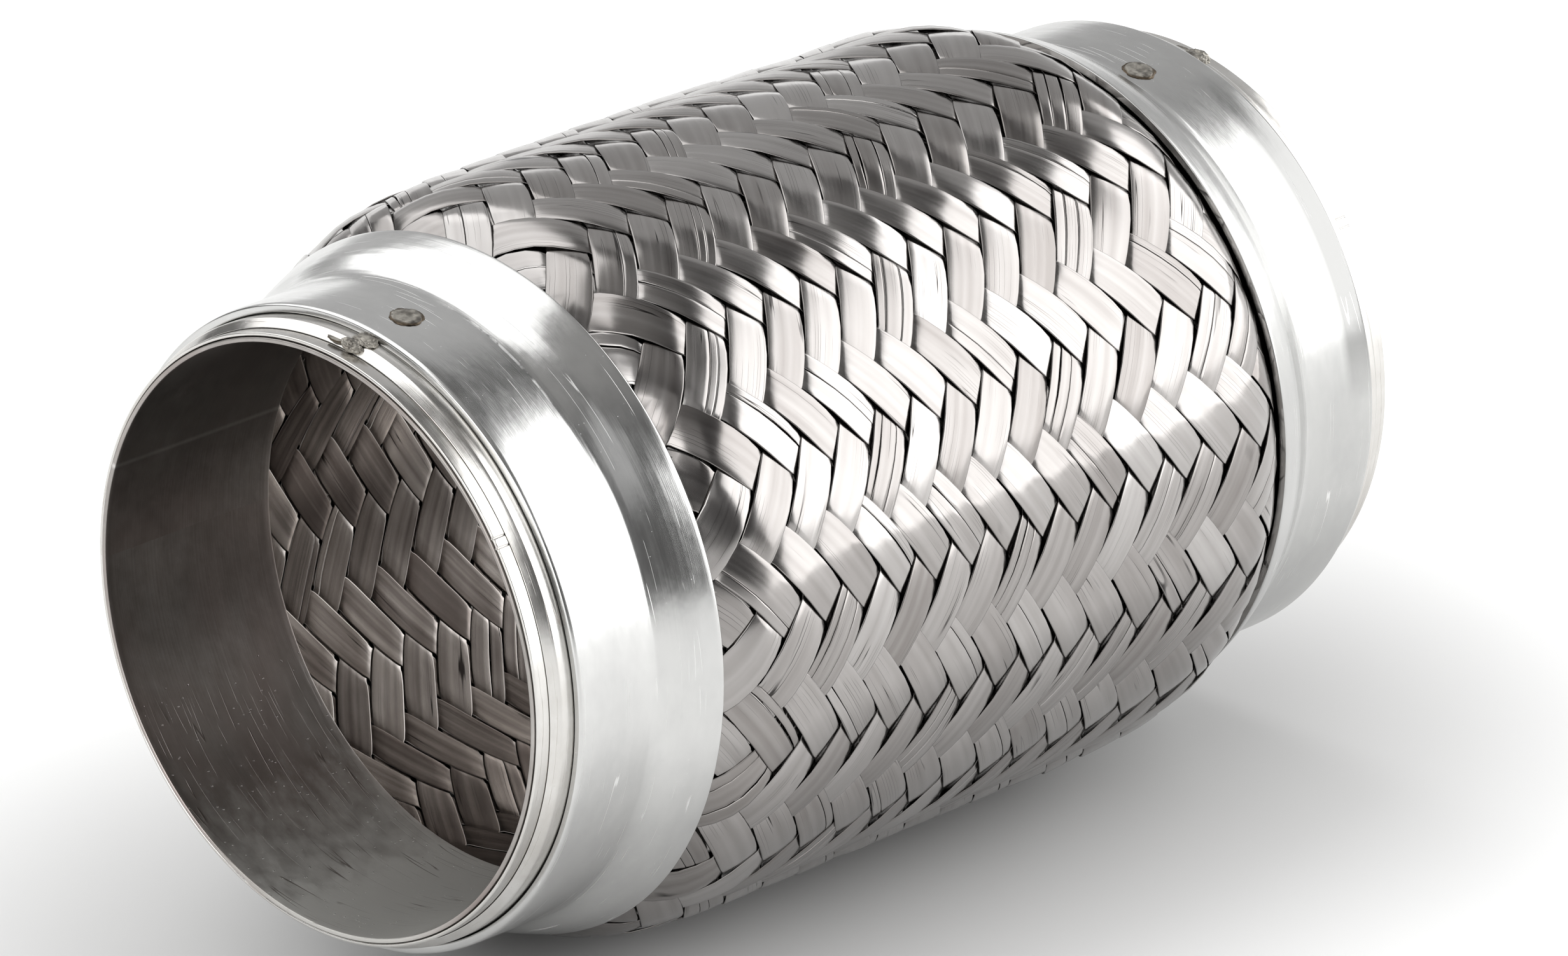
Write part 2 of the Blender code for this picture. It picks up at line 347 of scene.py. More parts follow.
def selected(mesh, first, last):
    """The faces of a mesh that reach into the stations between first and last: their points, quads,
    surface map, tones and normals.
    """
    count = len(mesh.vertices)
    co = np.empty(count * 3, np.float32)
    mesh.vertices.foreach_get("co", co)
    x = (co.reshape(-1, 3)[:, 0] - cad_low.x) / MM
    corners = np.empty(len(mesh.loops), np.int32)
    mesh.loops.foreach_get("vertex_index", corners)
    quads = corners.reshape(-1, 4)
    keep = (x[quads].max(1) >= first) & (x[quads].min(1) <= last)
    used, quads = np.unique(quads[keep], return_inverse=True)
    quads = quads.reshape(-1, 4)
    uv = np.empty(len(mesh.loops) * 2, np.float32)
    mesh.uv_layers["surface"].data.foreach_get("uv", uv)
    tone = np.empty(count, np.float32)
    mesh.attributes["tone"].data.foreach_get("value", tone)
    facing = np.empty(count * 3, np.float32)
    mesh.vertex_normals.foreach_get("vector", facing)
    co, facing = co.reshape(-1, 3), facing.reshape(-1, 3)
    return co[used], quads, uv.reshape(-1, 4, 2)[keep], tone[used], facing[used]


def cut_length(name, meshes, first, last, material):
    """The braid between two stations: every tape is cut on both planes, and its ends are closed.

    The whole tapes' normals are carried over as custom normals, so that no cut shows at rest.
    """
    parts = [selected(mesh, first, last) for mesh in meshes]
    starts = np.cumsum([0] + [len(part[0]) for part in parts])
    points = np.concatenate([part[0] for part in parts])
    quads = np.concatenate([part[1] + start for part, start in zip(parts, starts)]).astype(np.int32)
    mesh = bpy.data.meshes.new(name)
    mesh.vertices.add(len(points))
    mesh.vertices.foreach_set("co", points.ravel())
    mesh.loops.add(quads.size)
    mesh.loops.foreach_set("vertex_index", quads.ravel())
    mesh.polygons.add(len(quads))
    mesh.polygons.foreach_set("loop_start", np.arange(0, quads.size, 4, dtype=np.int32))
    mesh.update(calc_edges=True)
    mesh.uv_layers.new(name="surface").data.foreach_set(
        "uv", np.concatenate([part[2] for part in parts]).ravel())
    mesh.attributes.new("tone", "FLOAT", "POINT").data.foreach_set(
        "value", np.concatenate([part[3] for part in parts]))
    mesh.attributes.new("facing", "FLOAT_VECTOR", "POINT").data.foreach_set(
        "vector", np.concatenate([part[4] for part in parts]).ravel())
    mesh.shade_smooth()
    form = bmesh.new()
    form.from_mesh(mesh)
    for station, side in ((first, -1), (last, 1)):
        bmesh.ops.bisect_plane(form, geom=form.verts[:] + form.edges[:] + form.faces[:], dist=1e-8,
                               plane_co=(x_at(station), 0, 0), plane_no=(side, 0, 0), clear_outer=True)
    ends = bmesh.ops.holes_fill(form, edges=[edge for edge in form.edges if edge.is_boundary], sides=0)
    for face in ends["faces"]:
        face.smooth = False
    form.to_mesh(mesh)
    form.free()
    corners = np.empty(len(mesh.loops), np.int32)
    mesh.loops.foreach_get("vertex_index", corners)
    facing = np.empty(len(mesh.vertices) * 3, np.float32)
    mesh.attributes["facing"].data.foreach_get("vector", facing)
    normals = facing.reshape(-1, 3)[corners]
    sizes = np.empty(len(mesh.polygons), np.int32)
    mesh.polygons.foreach_get("loop_total", sizes)
    flat = np.empty(len(mesh.polygons) * 3, np.float32)
    mesh.polygon_normals.foreach_get("vector", flat)
    smooth = np.empty(len(mesh.polygons), bool)
    mesh.polygons.foreach_get("use_smooth", smooth)
    ends_mask = np.repeat(~smooth, sizes)
    normals[ends_mask] = np.repeat(flat.reshape(-1, 3), sizes, 0)[ends_mask]
    mesh.attributes.remove(mesh.attributes["facing"])
    mesh.normals_split_custom_set(normals.tolist())
    return piece(name, mesh, material)


def follow_zone(made):
    """Bake a piece of the flexible middle's transform into its mesh."""
    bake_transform(made)


def zone_bounds(first):
    """The first and last station of each zone of a long piece that starts at first."""
    return list(zip([first, *CENTRES], [*CENTRES, LENGTH - first]))


# Materials

class Finish:
    """A node material with one Principled shader, and short ways to add to it."""

    def __init__(self, name, colour, metallic=1.0, roughness=0.3, **sockets):
        self.material = bpy.data.materials.new(name)
        self.material.use_nodes = True
        self.tree = self.material.node_tree
        self.shader = self.tree.nodes["Principled BSDF"]
        self.shader.inputs["Base Color"].default_value = (*colour, 1.0)
        self.shader.inputs["Metallic"].default_value = metallic
        self.shader.inputs["Roughness"].default_value = roughness
        for socket, value in sockets.items():
            self.shader.inputs[socket.replace("_", " ")].default_value = value

    def node(self, kind, inputs=None, **settings):
        made = self.tree.nodes.new("ShaderNode" + kind)
        for key, value in settings.items():
            setattr(made, key, value)
        for key, value in (inputs or {}).items():
            if isinstance(value, bpy.types.NodeSocket):
                self.tree.links.new(value, made.inputs[key])
            else:
                made.inputs[key].default_value = value
        return made

    def math(self, operation, first, second=0.0, third=0.0, clamp=False):
        inputs = {0: first, 1: second, 2: third}
        return self.node("Math", inputs, operation=operation, use_clamp=clamp).outputs[0]

    def surface(self):
        return self.node("UVMap", uv_map="surface").outputs[0]

    def stretched(self, scale, rotation=0.0):
        return self.node("Mapping", {"Vector": self.surface(), "Scale": (*scale, 1.0),
                                     "Rotation": (0, 0, rotation)}).outputs[0]

    def noise(self, vector, scale=1.0, detail=3.0, roughness=0.5):
        inputs = {"Vector": vector, "Scale": scale, "Detail": detail, "Roughness": roughness}
        return self.node("TexNoise", inputs).outputs["Fac"]

    def fine_lines(self, scale, width, rotation=0.0, low=0.46, high=0.58):
        """1 on sparse thin lines that run along the mapped first direction, else 0."""
        level = self.noise(self.stretched(scale, rotation), detail=0.0)
        near = self.math("ABSOLUTE", self.math("SUBTRACT", level, 0.5))
        where = self.noise(self.stretched((0.16, 0.35), rotation), detail=1.0)
        line = self.ranged(near, 0.3 * width, width, 1.0, 0.0)
        return self.math("MULTIPLY", line, self.ranged(where, low, high))

    def spots(self, scale, first, last):
        """1 on scattered round spots, else 0."""
        inputs = {"Vector": self.stretched(scale), "Randomness": 1.0}
        return self.ranged(self.node("TexVoronoi", inputs).outputs["Distance"], first, last, 1.0, 0.0)

    def band(self, value, centre, inside, outside):
        """1 where the value is near the centre, 0 further away."""
        away = self.math("ABSOLUTE", self.math("SUBTRACT", value, centre))
        return self.ranged(away, inside, outside, 1.0, 0.0)

    def ranged(self, value, low, high, to_low=0.0, to_high=1.0):
        inputs = {"Value": value, "From Min": low, "From Max": high, "To Min": to_low, "To Max": to_high}
        return self.node("MapRange", inputs, clamp=True).outputs[0]

    def mix(self, factor, first, second):
        made = self.node("Mix", data_type="RGBA")
        for index, value in ((0, factor), (6, first), (7, second)):
            if isinstance(value, bpy.types.NodeSocket):
                self.tree.links.new(value, made.inputs[index])
            else:
                made.inputs[index].default_value = (*value, 1.0) if isinstance(value, tuple) else value
        return made.outputs[2]

    def set(self, socket, value):
        self.tree.links.new(value, self.shader.inputs[socket])

    def bump(self, height, distance, strength=1.0, normal=None):
        inputs = {"Height": height, "Distance": distance, "Strength": strength}
        if normal is not None:
            inputs["Normal"] = normal
        return self.node("Bump", inputs).outputs[0]

    def along_surface(self):
        """Stretch the highlights across the surface map's first direction."""
        tangent = self.node("Tangent", direction_type="UV_MAP", uv_map="surface").outputs[0]
        self.set("Tangent", tangent)


def braid_finish(name, light, dark, roughness, variety=1.0):
    """Tapes of flat drawn wire: soft streaks, a few fine lines, tapes that differ in tone, and painted
    shade along each tape's edges.
    """
    finish = Finish(name, light, roughness=roughness, Anisotropic=0.6, Anisotropic_Rotation=0.25)
    tone = finish.node("Attribute", attribute_name="tone").outputs["Fac"]
    broad = finish.noise(finish.stretched((0.012, 1.5)), detail=0.0)
    narrow = finish.noise(finish.stretched((0.014, 3.4)), detail=0.0)
    cloud = finish.noise(finish.stretched((0.22, 0.4)), detail=2.0)
    line = finish.fine_lines((0.02, 1.9), 0.011, 0.0, 0.49, 0.6)
    mixed = finish.math("MULTIPLY_ADD", tone, 0.22 * variety, 0.55)
    mixed = finish.math("ADD", mixed, finish.math("MULTIPLY_ADD", broad, 0.6 * variety, -0.3 * variety))
    mixed = finish.math("ADD", mixed, finish.math("MULTIPLY_ADD", narrow, 0.2, -0.1))
    mixed = finish.math("ADD", mixed, finish.math("MULTIPLY_ADD", cloud, 0.4, -0.2), clamp=True)
    metal = finish.mix(mixed, dark, light)
    # Painted shade: each tape is darkened along its edges, where the gaps between tapes are in shade; the
    # fine lines are the wire's own marks
    across = finish.node("SeparateXYZ", {0: finish.surface()}).outputs[1]
    edge = finish.ranged(finish.math("PINGPONG", across, MAP_RIBBON / 2), 1.56, 1.68)
    gap_shade_and_lines = finish.math("MAXIMUM", edge, line)
    finish.set("Base Color", finish.mix(gap_shade_and_lines, metal, tuple(0.22 * part for part in dark)))
    rough = finish.math("MULTIPLY_ADD", narrow, 0.07, roughness - 0.035)
    finish.set("Roughness", finish.math("ADD", rough, finish.math("MULTIPLY_ADD", cloud, 0.14, -0.07)))
    streaks = finish.bump(broad, 0.004 * MM)
    height = finish.math("SUBTRACT", narrow, finish.math("MULTIPLY", line, 2.0))
    finish.set("Normal", finish.bump(height, 0.0004 * MM, normal=streaks))
    finish.along_surface()
    return finish.material


def sheet_finish(name, light, dark, roughness, scratch, crease=None, dim_reflection_band=False):
    """Rolled or spun sheet: faint lines round the pipe, soft clouds, and scratches of their own
    colour. crease is how far across the sheet its crease is, with a painted highlight along it, and
    dim_reflection_band adds a grey area that is a painted dim reflection.
    """
    finish = Finish(name, light, roughness=roughness, Anisotropic=0.25, Anisotropic_Rotation=0.25)
    lines = finish.noise(finish.stretched((0.02, 9.0)), detail=3.0)
    cloud = finish.noise(finish.stretched((0.11, 0.16)), detail=4.0)
    smear = finish.noise(finish.stretched((0.5, 0.8), 0.4), detail=5.0, roughness=0.65)
    marks = finish.math("MAXIMUM", finish.fine_lines((0.015, 0.7), 0.006, 0.5, 0.56, 0.62),
                        finish.fine_lines((0.015, 0.8), 0.005, -1.1, 0.57, 0.63))
    specks = finish.spots((0.42, 0.42), 0.035, 0.06)
    specks = finish.math("MULTIPLY", specks, finish.ranged(smear, 0.52, 0.58))
    marks = finish.math("MAXIMUM", marks, specks)
    split = finish.node("SeparateXYZ", {0: finish.surface()})
    turn, run = split.outputs[0], split.outputs[1]
    if crease is not None:
        # Painted highlight: a pale line along part of the crease, standing in for light caught by it; from
        # here the marks carry it too
        crease_highlight = finish.math("MULTIPLY", finish.band(run, crease, 0.04, 0.16),
                           finish.band(turn, CREASE_HIGHLIGHT_ANGLE * TURN_RADIUS, 4.0, 8.0))
        crease_highlight = finish.math("MULTIPLY", crease_highlight, finish.ranged(smear, 0.42, 0.56))
        marks = finish.math("MAXIMUM", marks, crease_highlight)
    mixed = finish.ranged(finish.math("ADD", cloud, finish.math("MULTIPLY", smear, 0.5)), 0.45, 0.95)
    metal = finish.mix(mixed, dark, light)
    if dim_reflection_band:
        # Painted reflection: near the nose, on one side of the collar, the steel is painted grey where its
        # reflection should be dimmer
        dim_reflection = finish.math("MULTIPLY", finish.ranged(run, 2.6, 3.6, 1.0, 0.0),
                           finish.band(turn, DIM_REFLECTION_ANGLE * TURN_RADIUS, 11.0, 16.0))
        metal = finish.mix(finish.math("MULTIPLY", dim_reflection, 0.9), metal, (0.27, 0.27, 0.265))
    finish.set("Base Color", finish.mix(finish.math("MULTIPLY", marks, 0.7), metal, scratch))
    rough = finish.math("MULTIPLY_ADD", lines, 0.10, roughness - 0.05)
    rough = finish.math("ADD", rough, finish.math("MULTIPLY_ADD", smear, 0.12, -0.06))
    finish.set("Roughness", finish.math("MULTIPLY_ADD", marks, 0.25, rough))
    height = finish.math("MULTIPLY_ADD", marks, -1.5, lines)
    waves = finish.bump(cloud, 0.15 * MM, 0.5)
    finish.set("Normal", finish.bump(height, 0.004 * MM, normal=waves))
    finish.along_surface()
    return finish.material


def sleeve_finish():
    """Dull stained tube with a lengthwise seam, and dents, scratches and a duller patch painted pale low
    inside: the pale colour is painted light on the lower wall.
    """
    light, dark = (0.44, 0.42, 0.40), (0.28, 0.26, 0.245)
    finish = Finish("dull_sleeve_steel", light, roughness=0.36, Anisotropic=0.3, Anisotropic_Rotation=0.25)
    split = finish.node("SeparateXYZ", {0: finish.surface()})
    turn, run = split.outputs[0], split.outputs[1]
    lines = finish.noise(finish.stretched((0.03, 5.0)), detail=3.0)
    stain = finish.noise(finish.stretched((0.10, 0.13)), detail=4.0)
    smear = finish.noise(finish.stretched((0.45, 0.7), 0.4), detail=5.0, roughness=0.65)
    hue = finish.noise(finish.stretched((0.05, 0.09), 0.9), detail=2.0)
    mixed = finish.ranged(finish.math("ADD", stain, finish.math("MULTIPLY", smear, 0.5)), 0.5, 0.95)
    metal = finish.mix(mixed, dark, light)
    metal = finish.mix(finish.ranged(hue, 0.42, 0.62, 0.0, 0.5), metal, (0.36, 0.29, 0.27))
    seam = finish.band(turn, SEAM_ANGLE * TURN_RADIUS, 0.06, 0.34)
    metal = finish.mix(finish.math("MULTIPLY", seam, 0.75), metal, (0.70, 0.68, 0.66))
    # Angles in radians: the bottom of the pipe is at 4.7
    low = finish.math("MULTIPLY", finish.ranged(turn, 4.35 * TURN_RADIUS, 4.6 * TURN_RADIUS),
                      finish.ranged(turn, 5.55 * TURN_RADIUS, 5.8 * TURN_RADIUS, 1.0, 0.0))
    # The bore's side of the sheet is darker than the outside and the two edges
    inside = finish.math("MULTIPLY", finish.ranged(run, 19.0, 19.6),
                         finish.ranged(run, 37.5, 37.8, 1.0, 0.0))
    metal = finish.mix(finish.math("MULTIPLY", inside, 0.5), metal, (0.15, 0.14, 0.132))
    # Painted light: low in the bore a patch is made less metallic and painted pale; the pale colour stands
    # in for light on the lower wall
    broken_turn = finish.math("MULTIPLY_ADD", smear, -14.0, turn)
    duller_patch_painted_light = finish.math("MULTIPLY", finish.ranged(turn, 3.9 * TURN_RADIUS, 4.3 * TURN_RADIUS),
                       finish.ranged(broken_turn, 4.6 * TURN_RADIUS, 5.15 * TURN_RADIUS, 1.0, 0.0))
    metal = finish.mix(finish.math("MULTIPLY", duller_patch_painted_light, 0.7), metal, (0.62, 0.62, 0.59))
    scratches = finish.math("MAXIMUM", finish.fine_lines((0.03, 0.8), 0.012, 1.05, 0.50, 0.56),
                            finish.fine_lines((0.03, 0.9), 0.010, 0.75, 0.52, 0.58))
    scratches = finish.math("MULTIPLY", scratches, low)
    dents = finish.math("MULTIPLY", finish.spots((0.2, 0.24), 0.03, 0.11), low)
    scratched = finish.mix(finish.math("MULTIPLY", scratches, 0.8), metal, (0.12, 0.10, 0.09))
    finish.set("Base Color", scratched)
    finish.set("Metallic", finish.math("MULTIPLY_ADD", duller_patch_painted_light, -0.5, 1.0))
    finish.set("Roughness", finish.math("MULTIPLY_ADD", smear, 0.16, 0.27))
    fine = finish.bump(finish.math("MULTIPLY_ADD", scratches, -2.0, lines), 0.006 * MM)
    deep = finish.bump(dents, 0.22 * MM, normal=fine)
    finish.set("Normal", finish.bump(stain, 0.2 * MM, 0.5, normal=deep))
    finish.along_surface()
    return finish.material


def weld_finish():
    """Rough grey weld metal that turns brown towards the edge of each lump."""
    finish = Finish("weld_metal", (0.34, 0.29, 0.24), roughness=0.42)
    place = finish.node("TexCoord").outputs["Object"]
    tone = finish.node("Attribute", attribute_name="tone").outputs["Fac"]
    lumps = finish.noise(place, scale=1400.0, detail=4.0)
    patches = finish.noise(place, scale=700.0, detail=2.0)
    brown = finish.math("MULTIPLY_ADD", patches, 0.6, finish.math("SUBTRACT", tone, 0.3))
    brown = finish.ranged(brown, 0.55, 0.85)
    metal = finish.mix(finish.ranged(lumps, 0.35, 0.65), (0.14, 0.13, 0.115), (0.40, 0.38, 0.34))
    finish.set("Base Color", finish.mix(brown, metal, (0.09, 0.07, 0.05)))
    finish.set("Roughness", finish.ranged(lumps, 0.3, 0.7, 0.32, 0.55))
    finish.set("Normal", finish.bump(lumps, 0.08 * MM))
    return finish.material


PALE_SCRATCH = (0.92, 0.92, 0.91)
BROWN_SCRATCH = (0.40, 0.36, 0.33)
CAP_STEEL = sheet_finish("satin_cap_steel", (0.64, 0.64, 0.63), (0.55, 0.55, 0.545), 0.21,
                         PALE_SCRATCH, crease=8.1)
# Painted shade: the far cap has a darker copy of the near cap's steel, which dims its highlight; it is
# also a little rougher
SHADED_FAR_CAP_STEEL = sheet_finish("shaded_far_cap_steel", (0.54, 0.54, 0.53), (0.46, 0.46, 0.455), 0.23,
                             PALE_SCRATCH, dim_reflection_band=True)
CUFF_STEEL = sheet_finish("bright_cuff_steel", (0.70, 0.69, 0.67), (0.55, 0.53, 0.50), 0.22,
                          BROWN_SCRATCH)
BELLOWS_STEEL = sheet_finish("bellows_steel", (0.5, 0.49, 0.47), (0.35, 0.33, 0.31), 0.25,
                             PALE_SCRATCH)
SLEEVE_STEEL = sleeve_finish()
CRUSHED_WIRE = braid_finish("crushed_braid_wire", (0.30, 0.28, 0.265), (0.19, 0.17, 0.155), 0.45)
OUTER_WIRE = braid_finish("outer_braid_wire", (0.44, 0.425, 0.415), (0.24, 0.224, 0.214), 0.2)
INNER_WIRE = braid_finish("inner_braid_wire", (0.62, 0.585, 0.555), (0.21, 0.185, 0.172), 0.22, 1.6)
WELD_METAL = weld_finish()


# The rigid ends

def cap_outline():
    """A cap's section: the rounded nose, the straight collar, the flare and the wall's inside."""
    flare, run = LIP_RADIUS - COLLAR_RADIUS, LIP - CREASE
    outer = [(CREASE + part * run, COLLAR_RADIUS + rise * flare) for part, rise in FLARE]
    inner = [(station + 0.15, radius - CAP_WALL) for station, radius in reversed(outer[1:-1])]
    return ([(CAP_NOSE, COLLAR_RADIUS - 0.16), (CAP_NOSE + 0.3, COLLAR_RADIUS - 0.03),
             (CAP_NOSE + 1.5, COLLAR_RADIUS)]
            + outer + [(LIP, LIP_RADIUS - CAP_WALL)] + inner
            + [(CREASE + 0.1, COLLAR_RADIUS - CAP_WALL), (CAP_NOSE, COLLAR_RADIUS - CAP_WALL)])


def hand_worn(size, seed):
    """A faint unevenness of the radius, in millimetres, with a few swings round the pipe."""
    random = np.random.default_rng(seed)
    waves = []
    for turns in range(1, 9):
        height = random.normal(0, size / (1 + 0.3 * turns))
        waves.append((turns, height, random.uniform(0, 6.28), random.uniform(-0.25, 0.25)))

    def uneven(station, angle):
        return sum(height * np.cos(turns * angle + start + slope * station)
                   for turns, height, start, slope in waves)
    return uneven


def weld(name, lumps, seed, far=False):
    """Beads of weld metal. Each lump is its station, radius, angle, half sizes, edge tone and hollow
    (how far its middle is sunk, up to 1).
    """
    form = bmesh.new()
    tone = form.verts.layers.float.new("tone")
    for number, (station, radius, angle, half_size, edge_tone, hollow) in enumerate(lumps):
        made = bmesh.ops.create_icosphere(form, subdivisions=5, radius=1.0)["verts"]
        shift = Vector((seed * 7.3 + number, seed * 3.1, seed))
        for vert in made:
            out = math.hypot(vert.co.x, vert.co.y)
            vert[tone] = edge_tone * out ** 3
            vert.co.z *= 1.0 - hollow * ease(1.0 - out / 0.8)
            lump = 0.25 * noise.noise(vert.co * 1.7 + shift) + 0.12 * noise.noise(vert.co * 4.5 + shift)
            vert.co *= 1.0 + lump * (1.0 - 0.7 * hollow)
        x = x_at(LENGTH - station if far else station)
        turn = math.radians(angle) - math.pi / 2
        shape = Matrix.Translation((x, 0, 0)) @ Matrix.Rotation(turn, 4, "X")
        shape @= Matrix.Translation((0, 0, radius * MM))
        shape @= Matrix.Diagonal((*(size * MM for size in half_size), 1))
        bmesh.ops.transform(form, matrix=shape, verts=made)
    mesh = bpy.data.meshes.new(name)
    form.to_mesh(mesh)
    form.free()
    mesh.shade_smooth()
    return piece(name, mesh, WELD_METAL)


def lap_joint(station, angle):
    """Two grooves where the ends of the strip behind the mouth's rim meet."""
    depth, end_of_rim = 0.16, 1.35
    groove = sum(np.exp(-((angle - cut) / LAP_GROOVE) ** 2) for cut in LAP_ANGLES)
    return -depth * groove * (station < end_of_rim) * np.ones_like(station)


def end_pieces(side):
    """The rigid pieces of one end, as sections of (station, radius) counted from its own mouth."""
    far = side == "far"
    seed = 5 if far else 3
    weld_angle = 102.1 if far else 97.6
    spot_station = 9.8 if far else 7.4
    cap_steel = SHADED_FAR_CAP_STEEL if far else CAP_STEEL
    sleeve_outer = BORE_RADIUS + SLEEVE_WALL
    sleeve = [(0.0, BORE_RADIUS), (0.0, sleeve_outer), (SLEEVE_LENGTH, sleeve_outer),
              (SLEEVE_LENGTH, BORE_RADIUS)]
    cuff_wall = 0.32
    cuff = [(0.12, 26.2), (7.9, 26.2), (9.2, 26.7), (19.0, 26.7), (20.4, 27.2), (22.6, 27.2)]
    cuff += [(station, radius - cuff_wall) for station, radius in reversed(cuff)]
    crushed = [(2.5, 26.24), (2.5, 26.5), (8.0, 26.5), (9.3, 26.93), (12.5, 26.93), (12.5, 26.76),
               (9.0, 26.76), (7.8, 26.24)]
    ring = [(1.36, 26.26), (2.06, 26.84), (2.2, 26.92), (7.6, 26.93), (7.6, 26.62), (2.4, 26.62),
            (1.5, 26.22)]
    # Extra edges along the lap joint's grooves, in groove widths
    grooves = [cut + step * LAP_GROOVE for cut in LAP_ANGLES
               for step in (-2.5, -1.2, -0.6, 0.0, 0.6, 1.2, 2.5)]
    spot_lump = (spot_station, COLLAR_RADIUS - 0.02, weld_angle, (1.4, 1.45, 0.2), 1.0, 0.75)
    edge_lumps = [(1.75, 26.75, weld_angle - 0.6, (0.75, 1.05, 0.5), 0.55, 0.0),
                  (2.75, 27.05, weld_angle + 0.4, (0.85, 1.15, 0.36), 0.6, 0.0),
                  (1.75, 26.6, weld_angle - 4.6, (0.42, 0.95, 0.07), 1.3, 0.0)]
    # Each piece, its slot and the CAD node that it stands for
    made = [
        (turned(side + "_cap_shell", rounded(cap_outline(), 0.14, 3), cap_steel, far,
                uneven=hand_worn(0.018, seed)), "cap", "end_cap"),
        (turned(side + "_sleeve_shell", rounded(sleeve, 0.13), SLEEVE_STEEL, far), "sleeve",
         "inner_sleeve"),
        (turned(side + "_cuff_shell", rounded(cuff, 0.14), CUFF_STEEL, far, uneven=lap_joint,
                extra_angles=grooves), "bellows", "bellows_cuff"),
        (turned(side + "_crushed_braid", rounded(crushed, 0.1), CRUSHED_WIRE, far), "outer_braid",
         "outer_braid_end"),
        (turned(side + "_ring_band", rounded(ring, 0.08), CUFF_STEEL, far), "cap", "retaining_ring"),
        (weld(side + "_spot_bead", [spot_lump], seed, far), "weld", "spot_weld"),
        (weld(side + "_edge_bead", edge_lumps, seed + 1, far), "weld", "edge_weld"),
    ]
    for shown, slot, node in made:
        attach(shown, side + "_end")
        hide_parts("%s_%s" % (side, node))


for end in ("near", "far"):
    end_pieces(end)


# Bellows

def bellows_radius(station):
    """Middle of the bellows wall: narrow rounded crowns and roots."""
    sharpness = 1.9
    swing = np.cos(2 * math.pi * (station - LENGTH / 2) / CONVOLUTION_PITCH)
    steep = np.tanh(sharpness * swing) / math.tanh(sharpness)
    middle = (ROOT_RADIUS + CROWN_RADIUS) / 2
    return middle + (CROWN_RADIUS - ROOT_RADIUS - 0.5) / 2 * steep


def bellows_pieces():
    half_wall, step = BELLOWS_WALL / 2, 0.2
    for zone, (first, last) in enumerate(zone_bounds(BELLOWS_START)):
        station = np.linspace(first, last, max(2, int((last - first) / step)))
        radius = bellows_radius(station)
        slope = np.gradient(radius, station)
        length = np.hypot(1.0, slope)
        # The ends are cut square, so that neighbours meet exactly
        slope[0], slope[-1] = 0.0, 0.0
        length[0], length[-1] = 1.0, 1.0
        outer = np.stack([station - slope / length * half_wall, radius + half_wall / length], 1)
        inner = np.stack([station + slope / length * half_wall, radius - half_wall / length], 1)[::-1]
        outline = np.concatenate([outer, inner])
        made = turned("bellows_zone_%d" % (zone + 1), outline, BELLOWS_STEEL, segments=96)
        follow_zone(made)
        if zone < len(LENGTHS):
            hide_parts("bellows_convolution_%d" % (zone + 1))


bellows_pieces()


# Braids

def from_mouth(station):
    return np.minimum(station, LENGTH - station)


def outer_radius(station, angle):
    """Middle of the outer braid's two layers, which sag a little towards the far end."""
    near = from_mouth(station)
    sag = np.exp(-((station - SAG_STATION) / 8.5) ** 2)
    bulge = BRAID_RADIUS - RADIUS_AT_LIP
    swollen = RADIUS_AT_LIP + bulge * (1 - np.exp(-np.maximum(near - LIP, 0) / 2.9))
    start, start_radius = 13.2, 27.85
    under_cap = start_radius + (near - start) * (RADIUS_AT_LIP - start_radius) / (LIP - start)
    crown = np.where(near > LIP, swollen, np.minimum(under_cap, RADIUS_AT_LIP))
    # The first two numbers keep the braid's highest tapes inside the CAD model's radius
    return crown - 0.05 - 0.56 - 0.22 * sag + 0.25 * sag * np.cos(angle - SAG_ANGLE)


def outer_rise(station):
    """How far the over and under layers are from the middle: closer together in the cap's mouth."""
    return 0.15 + 0.20 * ease((from_mouth(station) - 16.0) / 4.0)


def outer_pitch(station):
    """The length of one step of the lattice, a little longer towards the ends."""
    return 1.008 * (4.15 + 0.00075 * (station - 44.0) ** 2)


OUTER = Weave("outer_braid", 32, 141.2, 24.8, outer_pitch, outer_radius, outer_rise, 0.16, 0.972,
              False, SEED, flat=0.25, dip=0.065, crown=0.035, twist=0.08, loose=1.0)
INNER = Weave("inner_braid", 26, 312.1, 28.4, lambda station: 3.93,
              lambda station, angle: INNER_RADIUS, lambda station: INNER_RISE, 0.07, 0.955,
              True, SEED + 1, flat=0.9, dip=0.11, crown=0.005, twist=0.02, loose=0.4)


def split_plan(weave, share):
    """Choose which ribbons come apart, where across their width, and at which floats they open."""
    closed, strength = 0.008, 0.055
    random = weave.random
    plan = {}
    for ribbon in range(weave.count):
        if random.random() > share:
            continue
        places = sorted(random.uniform(-0.6, 0.6, random.integers(1, 3)))
        if len(places) == 2 and places[1] - places[0] < 0.3:
            places = places[:1]
        edges = []
        for place in places:
            floats = np.arange(-40.0, 60.0, PERIOD)
            sizes = np.where(random.random(len(floats)) < 0.35, random.uniform(0.4, 1.0, len(floats)), 0.0)
            shift = random.uniform(0, 4)

            def gap(along, floats=floats, sizes=sizes, shift=shift):
                centre = floats[:, None] + shift
                opening = sizes[:, None] * np.exp(-((along[None] - centre) / 0.8) ** 2)
                return closed + strength * opening.sum(0)
            edges.append((place, gap))
        plan[ribbon] = edges
    return plan


